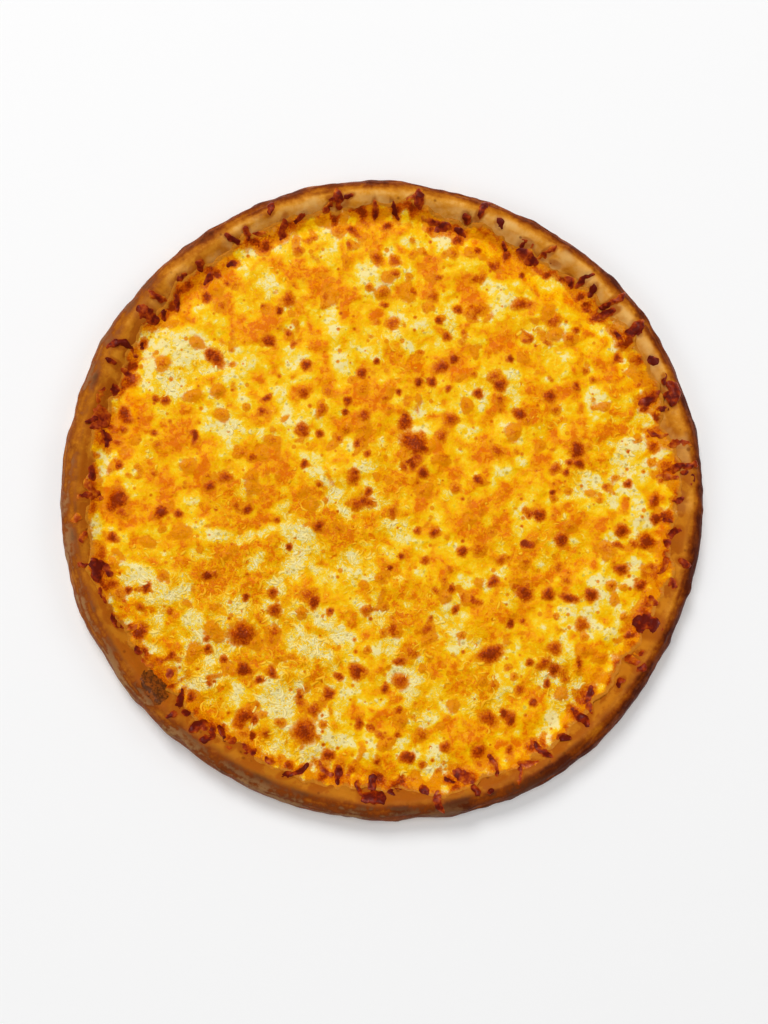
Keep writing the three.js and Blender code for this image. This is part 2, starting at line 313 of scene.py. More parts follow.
def blisterTable():
    # one row for each toasted blister: x, y, width, length, heading, how dark it is and its height
    rows = []

    def addRow(x, y, width, stretch, heading, dark):
        rows.append((x, y, width, width * stretch, 2 * np.pi * heading, dark))

    for i, (x, y, width, stretch) in enumerate(largeBlisterRows):
        addRow(x, y, width, stretch, chance(i, 21), between(toast["namedDark"], chance(i, 22)))
    fieldRadius = pizza["outlineRadius"] - pizza["cheeseInset"] - toast["beltWidth"]
    for i in range(toast["fieldBlisters"]):
        x, y = polar(fieldRadius * math.sqrt(chance(i, 31)), 2 * np.pi * chance(i, 32))
        addRow(x, y, between(toast["fieldSizes"], chance(i, 33) ** 2),
               between(toast["fieldStretch"], chance(i, 34)), chance(i, 35),
               between(toast["fieldDark"], chance(i, 36)))
    for i in range(toast["beltBlisters"]):
        angle = (i + chance(i, 41)) * 2 * np.pi / toast["beltBlisters"]
        x, y = polar(cheeseEdge(angle) - toast["beltInset"] - toast["beltWidth"] * chance(i, 42), angle)
        addRow(x, y, between(toast["beltSizes"], chance(i, 43)), between(toast["beltStretch"], chance(i, 44)),
               chance(i, 45), between(toast["namedDark"], chance(i, 46)))
    rng = np.random.default_rng(toast["seed"])
    for count, sizes, inner, outer in toast["smallSpots"]:
        radius = np.sqrt(rng.uniform(inner ** 2, outer ** 2, count))
        x, y = polar(radius, rng.uniform(0, 2 * np.pi, count))
        width = between(sizes, rng.random(count) ** 2)
        length = width * between(toast["smallStretch"], rng.random(count) ** 2)
        dark = between(toast["smallDark"], rng.random(count) ** 1.25)
        rows += list(zip(x, y, width, length, rng.uniform(0, 2 * np.pi, count), dark))
    table = np.array(rows)
    return np.column_stack([table, toast["heightShare"] * table[:, 2]])


shred = {
    "height": 1.05, "bends": (-0.16, 0.16), "dark": (0.62, 1),
    "longAt": 151.2, "longBend": 0.2,  # the one long strand bends most
    "driedAt": 219.8,  # one dried patch is olive brown with black specks
    "rimFrom": 0.6,  # one that keeps this near the cheese's edge, or outside it, counts as on the bare rim
    # between the named ones, as in the solids
    "smallCount": 12, "smallPlaces": (-2, 2.5), "smallLengths": (6, 10), "smallWidths": (3, 4.4),
    "smallTurns": (-70, 70),
    # finer ones along the edge, which the solids leave out
    "beltCount": 96, "beltPlaces": (4, -8), "beltLengths": (5.5, 13), "beltWidths": (2.6, 5),
    "beltHeights": (0.45, 0.75), "beltBend": 0.18, "beltDark": (0.45, 1),
    "steps": 21, "sides": 16, "blunt": 2.2, "sink": 0.7,
    "wrinkle": 0.13, "wrinkleLengths": (2, 5),  # up and down
    "wander": 0.25, "wanderLengths": (5, 12), "fringe": 0.16, "fringeLengths": (2.2, 4.5),  # sideways
    "seed": 31,
}


def shredTable():
    # rows of x, y, length, width, height, heading, bend, then how dark, how dried and whether on the bare rim
    rows = [list(row) for row in rimStrandRows]
    count = shred["smallCount"]
    for i in range(count):
        degrees = (i + chance(i, 11)) * (360 / count)
        radius = cheeseEdge(math.radians(degrees)) + between(shred["smallPlaces"], chance(i, 12))
        rows.append([degrees, radius] + [between(shred[ends], chance(i, kind)) for ends, kind in
                                         (("smallLengths", 13), ("smallWidths", 14), ("smallTurns", 15))])
    table = []
    for i, (degrees, radius, length, width, turn) in enumerate(rows):
        angle = math.radians(degrees)
        reach = max(abs(math.cos(math.radians(turn))) * length, width) / 2
        onRim = radius - reach >= cheeseEdge(angle) - shred["rimFrom"]
        bend = between(shred["bends"], chance(i, 51)) if degrees != shred["longAt"] else shred["longBend"]
        dark = between(shred["dark"], chance(i, 52))
        table.append([*polar(radius, angle), length, width, shred["height"], angle + math.radians(turn), bend,
                      dark, float(degrees == shred["driedAt"]), float(onRim)])
    rng = np.random.default_rng(shred["seed"])
    count = shred["beltCount"]
    angle = (np.arange(count) + rng.random(count)) * 2 * np.pi / count
    radius = cheeseEdge(angle) + between(shred["beltPlaces"], rng.random(count))
    length = between(shred["beltLengths"], rng.random(count) ** 1.5)
    width = between(shred["beltWidths"], rng.random(count))
    finer = np.column_stack([
        *polar(radius, angle), length, width, between(shred["beltHeights"], rng.random(count)),
        rng.uniform(0, np.pi, count), rng.uniform(-shred["beltBend"], shred["beltBend"], count),
        between(shred["beltDark"], rng.random(count)), np.zeros(count), np.zeros(count)])
    return np.concatenate([np.array(table), finer])


shreds = shredTable()

stain = {"wider": 1.5, "longer": 1.15, "dark": 0.75}


def stainTable():
    # each shred has browned what it lies on: a flat spot a little wider than itself
    x, y, length, width, _, heading, _, dark = shreds[:, :8].T
    return np.column_stack([x, y, stain["wider"] * width, stain["longer"] * length, heading,
                            stain["dark"] * dark, 0 * x])


blisters = np.concatenate([blisterTable(), stainTable()])

dome = {"power": 0.7, "threeLobes": 0.08, "fiveLobes": 0.04, "spotReach": 2}


def blisterShape(x, y):
    # For each blister q is the distance from its middle in its own radii, on an uneven ellipse. The rise
    # is a dome (1 - q^2) to a power. The spot is a cone, 1 in its middle, 0.5 at its edge and 0 at twice
    # as far out. How dark it is baked goes with it.
    rise, spot, baked = np.zeros((3, len(x)))
    for cx, cy, width, length, heading, dark, height in blisters:
        span = 1.2 * max(width, length)
        near = np.flatnonzero((np.abs(x - cx) < span) & (np.abs(y - cy) < span))
        along, across = turned(x[near] - cx, y[near] - cy, -heading)
        turn = np.arctan2(across, along)
        uneven = 1 + dome["threeLobes"] * np.sin(3 * turn + cx) + dome["fiveLobes"] * np.sin(5 * turn + cy)
        q = np.hypot(2 * along / length, 2 * across / width) * uneven
        rise[near] = np.maximum(rise[near], height * np.clip(1 - q * q, 0, 1) ** dome["power"])
        cone = np.clip(1 - q / dome["spotReach"], 0, 1)
        baked[near] = np.where(cone > spot[near], dark, baked[near])
        spot[near] = np.maximum(spot[near], cone)
    return rise, spot, baked


# where the white cheese shows most, and where the orange lies thickest: to the right, away, across
creamPools = [
    (127, 85, 24), (138, -7, 26), (122, -52, 28), (149, 34, 20), (127, 6, 26), (-110, 66, 30), (5, -20, 30),
    (-152, 17, 18), (106, -67, 22), (88, -122, 24), (-130, 80, 18), (17, 149, 16), (-5, 112, 22),
    (-141, -48, 16), (-39, -27, 22), (141, 50, 18), (32, 144, 16), (-53, 143, 20), (-10, -87, 24),
    (40, -22, 16), (-88, 88, 24), (-22, -132, 20), (28, -140, 18),
]
orangePools = [
    (-152, -7, 18), (42, -147, 14), (-130, 12, 26), (17, 20, 30), (-135, -71, 14), (151, -23, 12),
    (-127, -9, 24), (35, -110, 26), (16, -66, 18), (78, -56, 14), (100, -26, 24), (44, 74, 26),
    (109, 27, 22), (-109, 108, 18), (-60, 20, 34), (-95, 10, 24), (-45, 120, 20), (40, 118, 20),
    (-100, -40, 22),
]

melt = {
    "seed": 5,
    "reach": 168,  # the shades are shared out inside this
    "shreds": 1500, "shredLength": (9, 24), "shredBend": 0.7, "shredReach": 166,  # cheddar, strewn all over
    "sharpRadius": 1.1, "sharpShare": 0.55,
    "runRadius": 3.0, "runShare": 0.8,  # how far it has run
    "poolStrength": 1.25, "poolSoftness": 2.6,
    # seed, radius and share of the noises in each field
    "orangeNoises": [(21, 1.6, 0.45), (22, 3.2, 0.5), (23, 8, 0.35)],
    "threadNoises": [(24, 9, 0.22)], "fineNoises": [(25, 0.75, 1)], "bumpNoises": [(26, 1.7, 1)],
    "friedNoises": [(27, 1.9, 0.8), (28, 4, 0.6)], "friedShadeNoises": [(29, 1.6, 1)],
    "threadQuarter": (-72, -84, 62),  # fine threads show most about here: x, y, across
    "threadsEverywhere": 0.08, "threadsInQuarter": 0.75,
}


def shredPaths(rng, count, lengths, reach, steps=14):
    # each shred is an arc: straight along its heading, bent sideways by the square of the way along
    x, y = polar(reach * np.sqrt(rng.random(count)), rng.uniform(0, 2 * np.pi, count))
    heading = rng.uniform(0, np.pi, count)[:, None]
    length = between(lengths, rng.random(count))[:, None]
    bend = rng.uniform(-melt["shredBend"], melt["shredBend"], count)[:, None]
    t = np.linspace(-0.5, 0.5, steps)[None, :]
    right, away = turned(length * t, length * bend * (t ** 2 - 0.08), heading)
    return x[:, None] + right, y[:, None] + away


def poolField(x, y, pools):
    # a soft dot for each pool
    return sum(np.exp(-((x - px) ** 2 + (y - py) ** 2) / (2 * (across / melt["poolSoftness"]) ** 2))
               for px, py, across in pools)


def noiseSum(kind):
    # the noises that are listed for a field, each times its share
    return sum(share * meltNoise(seed, radius) for seed, radius, share in melt[kind])


def cheeseFields():
    # The orange amount adds the strewn shreds, sharp and run, the pools and noise of several sizes. Then
    # every place gets its rank from 0, the whitest, to 1, so that each shade covers its own share.
    rng = np.random.default_rng(melt["seed"])
    x, y = shredPaths(rng, melt["shreds"], melt["shredLength"], melt["shredReach"])
    sharp = strewn(x, y, melt["sharpRadius"])
    run = strewn(x, y, melt["runRadius"])
    gx, gy = planGrid()
    pools = poolField(gx, gy, orangePools) - poolField(gx, gy, creamPools)
    amount = (melt["sharpShare"] * sharp + melt["runShare"] * run + melt["poolStrength"] * pools
              + noiseSum("orangeNoises"))
    inside = np.hypot(gx, gy) < melt["reach"]
    ranked = np.ones_like(amount)
    order = np.argsort(amount[inside])
    ranks = np.empty(len(order))
    ranks[order] = np.linspace(0, 1, len(order))
    ranked[inside] = ranks
    qx, qy, across = melt["threadQuarter"]
    quarter = np.exp(-((gx - qx) ** 2 + (gy - qy) ** 2) / (2 * across ** 2))
    threads = melt["threadsEverywhere"] + melt["threadsInQuarter"] * quarter + noiseSum("threadNoises")
    return {"orange": ranked, "sharp": sharp - sharp.mean(), "threads": smooth(threads),
            "fine": noiseSum("fineNoises"), "bumps": noiseSum("bumpNoises"),
            "fried": noiseSum("friedNoises"), "friedShade": noiseSum("friedShadeNoises")}


fields = cheeseFields()
print("cheese fields worked out")

sheet = {
    "cells": 304,
    "edgeRound": 4.5, "roundPower": 0.7,  # the sheet's edge rounds down to the dough over this width
    "edgeSink": 0.65,  # and this far into it, so that no gap shows
    "thinEdge": 6,  # over this width the cheese is thin enough to show the dough
    "friedFrom": 1, "friedTo": 19,  # the fried belt: thickest up to here from the edge, and gone from here on
    "friedBias": -1.95, "friedStep": 0.4, "friedHeight": 0.55, "friedMost": 0.9, "friedShadeStep": 0.3,
    "shredRelief": 0.16, "fineRelief": 0.05, "bumpRelief": 0.14,
    "creamSwell": 0.3, "creamUpTo": 0.45,  # the whitest cheese swells, up to this rank
    "edgeRelief": (0.35, 1),  # the share of the relief at the edge and in the middle
    "undersideInsets": (2, 5, 8.5, 12),
    "edgeRipples": [(17, 0.8, 4), (29, 0.75, 9), (43, 0.6, 2), (67, 0.45, 1), (109, 0.3, 3), (163, 0.2, 0)],
    "hiddenShrink": 0.15, "hiddenAt": 0.915,  # where the underside lies in the map
}


def sheetEdge(angle):
    # the solid's edge with finer ripples
    return cheeseEdge(angle) + waves(sheet["edgeRipples"], angle)


def cheeseSurface(x, y):
    # The height of the cheese: the dough, the sheet's thickness, the long lumps, the relief of the melted
    # shreds and the blisters, all rounding down to nothing at its edge. Beyond that it is the dough.
    # With it come the spots, how dark they are baked, the fields there and how far in it lies.
    inside = sheetEdge(np.arctan2(y, x)) - np.hypot(x, y)
    full = smooth(inside / pizza["thinningWidth"])
    thick = between((pizza["cheeseEdgeThickness"], pizza["cheeseThickness"]), full) + pizza["clearance"]
    rise, spot, baked = blisterShape(x, y)
    read = {key: readField(field, x, y) for key, field in fields.items()}
    belt = 1 - smooth((inside - sheet["friedFrom"]) / (sheet["friedTo"] - sheet["friedFrom"]))
    fried = 0.5 + sheet["friedStep"] * (read["fried"] + 2 * belt + sheet["friedBias"])
    baked = np.where(fried > spot, np.clip(0.5 + sheet["friedShadeStep"] * read["friedShade"], 0, 1), baked)
    spot = np.maximum(spot, np.clip(fried, 0, sheet["friedMost"]))
    relief = (sheet["shredRelief"] * read["sharp"] + sheet["fineRelief"] * read["fine"]
              + sheet["bumpRelief"] * read["bumps"]
              + sheet["creamSwell"] * (1 - smooth(read["orange"] / sheet["creamUpTo"]))
              + sheet["friedHeight"] * smooth(3 * fried - 1))
    rounding = smooth(inside / sheet["edgeRound"]) ** sheet["roundPower"]
    above = thick + full * lumps(x, y) + relief * between(sheet["edgeRelief"], full) + rise
    return doughTop(x, y) + rounding * above, spot, baked, read, inside


def squareToDisc(u, v):
    # rings of squares become rings round the pizza, each corner by its place along its side
    sideways = np.abs(u) > np.abs(v)
    angle = np.where(sideways, (np.pi / 4) * v / np.where(sideways, u, 1) + np.where(u < 0, np.pi, 0),
                     np.pi / 2 - (np.pi / 4) * u / np.where(sideways | (v == 0), 1, v)
                     + np.where(v < 0, np.pi, 0))
    return polar(np.maximum(np.abs(u), np.abs(v)) * sheetEdge(angle), angle)


def makeCheeseSheet(material):
    # a square grid laid over the disc, closed below by rings that follow the dough down to a fan
    n = sheet["cells"]
    u, v = np.meshgrid(np.linspace(-1, 1, n + 1), np.linspace(-1, 1, n + 1))
    x, y = squareToDisc(u.ravel(), v.ravel())
    z, spot, baked, read, inside = cheeseSurface(x, y)
    index = np.arange((n + 1) ** 2).reshape(n + 1, n + 1)
    quads = [np.stack([index[:-1, :-1], index[:-1, 1:], index[1:, 1:], index[1:, :-1]], -1).reshape(-1, 4)]
    rim = np.concatenate([index[0, :-1], index[:-1, -1], index[-1, :0:-1], index[:0:-1, 0]])
    z[rim] -= sheet["edgeSink"]
    points = [np.column_stack([x, y, z])]
    angle = np.arctan2(y[rim], x[rim])
    above, count = rim, len(x)
    for inset in sheet["undersideInsets"]:
        lowX, lowY = polar(sheetEdge(angle) - inset, angle)
        points.append(np.column_stack([lowX, lowY, doughTop(lowX, lowY) - sheet["edgeSink"]]))
        below = count + np.arange(len(rim))
        quads.append(np.stack([above, below, np.roll(below, -1), np.roll(above, -1)], -1))
        above, count = below, count + len(rim)
    points.append(np.array([[0, 0, pizza["doughThickness"] - sheet["edgeSink"]]]))
    fan = np.stack([above, np.full(len(rim), count), np.roll(above, -1)], -1)
    points, quads = np.concatenate(points), np.concatenate(quads)
    values = {"spot": spot, "baked": baked, "orange": read["orange"], "threads": read["threads"],
              "thinEdge": smooth(1 - inside / sheet["thinEdge"])}
    hidden = np.zeros(len(points) - len(x))
    values = {key: np.append(value, hidden) for key, value in values.items()}
    piece = makePiece("cheeseSheet", points, quads, fan, material, values)

    def place(at):
        # the top fills the map, and the hidden underside is small in a corner of it
        flat = seenFromAbove(at)
        flat[len(x):] = (flat[len(x):] - 0.5) * sheet["hiddenShrink"] + sheet["hiddenAt"]
        return flat

    bakeMap(piece, place)
    return piece


strand = {"unevenness": 0.13, "bumpsPerLength": 7, "usualLength": 12, "flatTop": 1.3}  # of every strand


def strandMesh(rows, made):
    # Along t from -1 to 1 a strand's half width and height follow (1 - |t|^blunt)^(1/blunt). Its section
    # is an ellipse, flattened below by sink, and every point is lifted by the cheese or dough under it.
    # An end point closes each end.
    x, y, length, width, height, heading, bend = [column[:, None, None] for column in rows.T]
    steps, sides = made["steps"], made["sides"]
    t = -np.cos(np.pi * (np.arange(steps) + 0.6) / (steps + 0.2))[None, :, None]
    around = (2 * np.pi * np.arange(sides) / sides)[None, None, :]
    taper = (1 - np.abs(t) ** made["blunt"]) ** (1 / made["blunt"])
    phase = strand["bumpsPerLength"] * t * length / strand["usualLength"] + 5 * x
    uneven = 1 + strand["unevenness"] * np.sin(phase)
    across = 0.5 * width * uneven * taper * np.cos(around) + bend * length * (t ** 2 - 0.3)
    right, away = turned(0.5 * length * t + 0 * around, across, heading)
    up = np.sin(around)
    lift = np.where(up > 0, height * np.abs(up) ** strand["flatTop"], made["sink"] * up) * taper
    tips = np.array([-1, 1])[None, :, None]
    tipRight, tipAway = turned(0.5 * length * tips, bend * length * 0.7, heading)
    px = np.concatenate([(x + right).reshape(len(rows), -1), (x + tipRight)[..., 0]], axis=1)
    py = np.concatenate([(y + away).reshape(len(rows), -1), (y + tipAway)[..., 0]], axis=1)
    pz = cheeseSurface(px.ravel(), py.ravel())[0].reshape(px.shape)
    pz[:, :-2] += lift.reshape(len(rows), -1)
    quads, fans = shell(np.arange(steps * sides).reshape(steps, sides), steps * sides, steps * sides + 1)
    first = (np.arange(len(rows)) * (steps * sides + 2))[:, None, None]
    points = np.stack([px, py, pz], -1).reshape(-1, 3)
    return points, (quads + first).reshape(-1, 4), (fans + first).reshape(-1, 3)


def makeShreds(name, table, material):
    # strands with their surface pushed about by noise; "middle" is 1 along the top and 0 at the foot
    points, quads, triangles = strandMesh(table[:, :7], shred)
    points[:, 2] += shred["wrinkle"] * rollingNoise(points, shred["wrinkleLengths"], 61)
    for axis, kind in ((0, 63), (1, 65)):
        points[:, axis] += (shred["wander"] * rollingNoise(points, shred["wanderLengths"], kind)
                            + shred["fringe"] * rollingNoise(points, shred["fringeLengths"], kind + 4))
    each = shred["steps"] * shred["sides"] + 2
    turn = np.sin(2 * np.pi * np.arange(shred["sides"]) / shred["sides"])
    taper = np.sin(np.pi * (np.arange(shred["steps"]) + 0.6) / (shred["steps"] + 0.2))
    middle = np.append(np.outer(np.sqrt(taper), np.clip(turn, 0, 1)).ravel(), [0, 0])
    values = {"toast": np.repeat(table[:, 7], each), "dried": np.repeat(table[:, 8], each),
              "middle": np.tile(middle, len(table))}
    piece = makePiece(name, points, quads, triangles, material, values)
    bakeMap(piece, seenFromAbove)


thread = {
    "count": 1700, "tries": 6, "reach": 158,
    "length": (1.6, 7), "width": (0.7, 2), "widestShare": 0.8, "heightShare": 0.26, "bend": 0.35,
    "longest": (0.35, 1),  # the share of that length that they reach where few show, and where most do
    "clearOfSpots": 0.45, "lessOnOrange": 0.7,
    "steps": 8, "sides": 6, "blunt": 2.4, "sink": 0.3,
    "seed": 47,
}


def makeThreads(material):
    # drawn at random and kept where the thread field says that threads show
    rng = np.random.default_rng(thread["seed"])
    tries = thread["count"] * thread["tries"]
    x, y = polar(thread["reach"] * np.sqrt(rng.random(tries)), rng.uniform(0, 2 * np.pi, tries))
    _, spot, _, read, _ = cheeseSurface(x, y)
    wanted = read["threads"] * (1 - smooth(spot / thread["clearOfSpots"]))
    wanted = wanted * (1 - thread["lessOnOrange"] * read["orange"])
    keep = np.flatnonzero(rng.random(tries) < wanted)[:thread["count"]]
    count = len(keep)
    longest = between(thread["longest"], read["threads"][keep])
    length = between(thread["length"], rng.random(count) ** 2 * longest)
    width = np.minimum(between(thread["width"], rng.random(count) ** 1.5), thread["widestShare"] * length)
    table = np.column_stack([
        x[keep], y[keep], length, width, thread["heightShare"] * width,
        rng.uniform(0, np.pi, count), rng.uniform(-thread["bend"], thread["bend"], count)])
    points, quads, triangles = strandMesh(table, thread)
    values = {"orange": readField(fields["orange"], points[:, 0], points[:, 1])}
    piece = makePiece("cheeseThreads", points, quads, triangles, material, values)
    bakeMap(piece, seenFromAbove)


crust = {
    "around": 720,
    "waveGrowth": 1.15,  # the outline's waves grow this fast outwards, so that they are full near the rim
    "undersideRings": 46, "footRings": 8, "shoulderRings": 26, "slopeRings": 16,
    "bulge": 0.3, "bulgeLengths": (16, 44), "bump": 0.12, "bumpLengths": (5, 12),
    "streak": 0.09, "streakWidths": (2, 4.5), "streakStretch": 7,  # low ridges that run round the rim
    "bubbles": 70, "bubbleSizes": (5, 13), "bubbleHeight": 0.07, "bubbleReach": 1.15,
    "bubblePlaces": (-2, 17),  # up the rim from its widest part
    "undersideDimple": 0.3, "dimpleLengths": (9, 26), "dimpleShare": 0.5, "dimpleRings": 6,
    "reliefFrom": 1, "reliefOver": 4,  # the relief sets in over this height above the plate
    "fatWidth": 5, "fatLevel": 1.3,  # fat shines this far each side of the cheese's edge
    "stainReach": 1.9,  # how far a shred stains, in its own radii
    "sideFrom": 11, "sideWidth": 8.5, "sideMost": 0.68,  # from this inset out, the browner side begins, darkened partly as painted shade
    "lowFade": 5,  # the underside's colours fade over this height below the widest part
    "seed": 77,
}


def crustProfile():
    # Radius and height from the middle of the underside out, round the foot, over the crest and down to
    # the flat dough: a superellipse quarter, an ellipse quarter and a half cosine.
    big, crest, floor = pizza["outlineRadius"], pizza["rimHeight"], pizza["doughThickness"]
    flat = (big - pizza["baseInset"]) * np.arange(1, crust["undersideRings"] + 1) / crust["undersideRings"]
    foot = np.pi / 2 * np.arange(1, crust["footRings"] + 1) / crust["footRings"]
    shoulder = np.pi / 2 * np.arange(1, crust["shoulderRings"] + 1) / crust["shoulderRings"]
    slope = np.arange(1, crust["slopeRings"] + 1) / crust["slopeRings"]
    radius = np.concatenate([
        flat,
        big - pizza["baseInset"] + pizza["baseInset"] * np.sin(foot) ** pizza["baseFullness"],
        big - pizza["crestInset"] + pizza["crestInset"] * np.cos(shoulder),
        big - pizza["crestInset"] - (pizza["rimWidth"] - pizza["crestInset"]) * slope])
    height = np.concatenate([
        0 * flat,
        pizza["widestHeight"] * (1 - np.clip(np.cos(foot), 0, 1) ** pizza["baseFullness"]),
        pizza["widestHeight"] + (crest - pizza["widestHeight"]) * np.sin(shoulder),
        floor + (crest - floor) * (0.5 + 0.5 * np.cos(np.pi * slope))])
    return radius, height


def shredStain(x, y):
    # how much a shred lies near each place: 1 near its own ellipse, down to 0 at the stain's reach
    near = np.zeros_like(x)
    for cx, cy, length, width, _, heading, *_ in shreds:
        along, across = turned(x - cx, y - cy, -heading)
        apart = np.hypot(2 * along / length, 2 * across / width)
        near = np.maximum(near, smooth(crust["stainReach"] - apart))
    return near


def makeCrust(material):
    # the profile carried round the middle, with the outline's waves, the crest's and then relief along
    # the normals: broad bulges, small bumps and low round bubbles; closed by a fan at each middle
    radius, height = [column[:, None] for column in crustProfile()]
    rows, around = len(radius), crust["around"]
    angle = (2 * np.pi * np.arange(around) / around)[None, :]
    rise = pizza["rimHeight"] - pizza["doughThickness"]
    share = np.clip(radius / pizza["outlineRadius"], 0, 1)
    r = radius + waves(pizza["outlineWaves"], angle) * np.clip(share * crust["waveGrowth"], 0, 1)
    z = height + waves(pizza["crestWaves"], angle) * np.clip(height - rise / 2, 0, None) / rise
    grid = np.stack([*polar(r, angle), z + 0 * angle], -1)
    normal = np.cross(np.roll(grid, -1, axis=1) - np.roll(grid, 1, axis=1), np.gradient(grid, axis=0))
    normal /= np.linalg.norm(normal, axis=-1, keepdims=True)

    def noise(points, lengths, kind):
        return rollingNoise(points.reshape(-1, 3), lengths, kind).reshape(rows, around)

    reach = np.append([0], np.cumsum(np.hypot(np.diff(radius[:, 0]), np.diff(height[:, 0]))))[:, None]
    rim = np.clip((height - crust["reliefFrom"]) / crust["reliefOver"], 0, 1)
    ringed = np.stack([*polar(pizza["outlineRadius"] / crust["streakStretch"] + 0 * reach, angle),
                       reach + 0 * angle], -1)
    streak = noise(ringed, crust["streakWidths"], 79)
    relief = (crust["bulge"] * noise(grid, crust["bulgeLengths"], 71)
              + crust["bump"] * noise(grid, crust["bumpLengths"], 73) + crust["streak"] * streak)
    rng = np.random.default_rng(crust["seed"])
    widest = reach[crust["undersideRings"] + crust["footRings"] - 1, 0]
    bubble = np.zeros_like(relief)
    for i in range(crust["bubbles"]):
        at = widest + rng.uniform(*crust["bubblePlaces"])
        turn = rng.uniform(0, 2 * np.pi)
        size = between(crust["bubbleSizes"], rng.random() ** 2)
        apart = (angle - turn + np.pi) % (2 * np.pi) - np.pi
        q = np.hypot(apart * pizza["outlineRadius"], reach - at) / (size / 2)
        bubble = np.maximum(bubble, size * crust["bubbleHeight"] * smooth(crust["bubbleReach"] - q))
    number = np.arange(rows)[:, None]
    hollow = smooth(noise(grid, crust["dimpleLengths"], 75) * crust["dimpleShare"])
    dimple = crust["undersideDimple"] * hollow * np.clip((rows - number) / crust["dimpleRings"], 0, 1)
    lift = np.where(number < crust["undersideRings"], dimple, 0)
    grid = grid + normal * ((relief + bubble) * rim)[..., None]
    grid[..., 2] = np.maximum(grid[..., 2] + lift, 0)
    quads, fans = shell(np.arange(rows * around).reshape(rows, around), rows * around, rows * around + 1)
    points = np.concatenate([grid.reshape(-1, 3), [[0, 0, 0], [0, 0, pizza["doughThickness"]]]])
    inset = pizza["outlineRadius"] - radius + 0 * angle
    offEdge = np.abs(inset - pizza["cheeseInset"])
    top = np.broadcast_to(reach > widest, (rows, around))
    values = {
        "low": np.where(top, 0, 1) * smooth((pizza["widestHeight"] - height) / crust["lowFade"]),
        # side: how far out on the outer side, which the finish darkens partly as painted shade
        "side": crust["sideMost"] * smooth((crust["sideFrom"] - inset) / crust["sideWidth"]),
        "fat": np.where(top, smooth(crust["fatLevel"] - offEdge / crust["fatWidth"]), 0),
        "stain": shredStain(grid[..., 0], grid[..., 1]) * top,
        "bubble": bubble / (crust["bubbleSizes"][1] * crust["bubbleHeight"]),
        "streak": streak,
    }
    values = {key: np.append(value, [value[0, 0], value[-1, -1]]) for key, value in values.items()}
    return makePiece("crustDough", points, quads, fans, material, values)


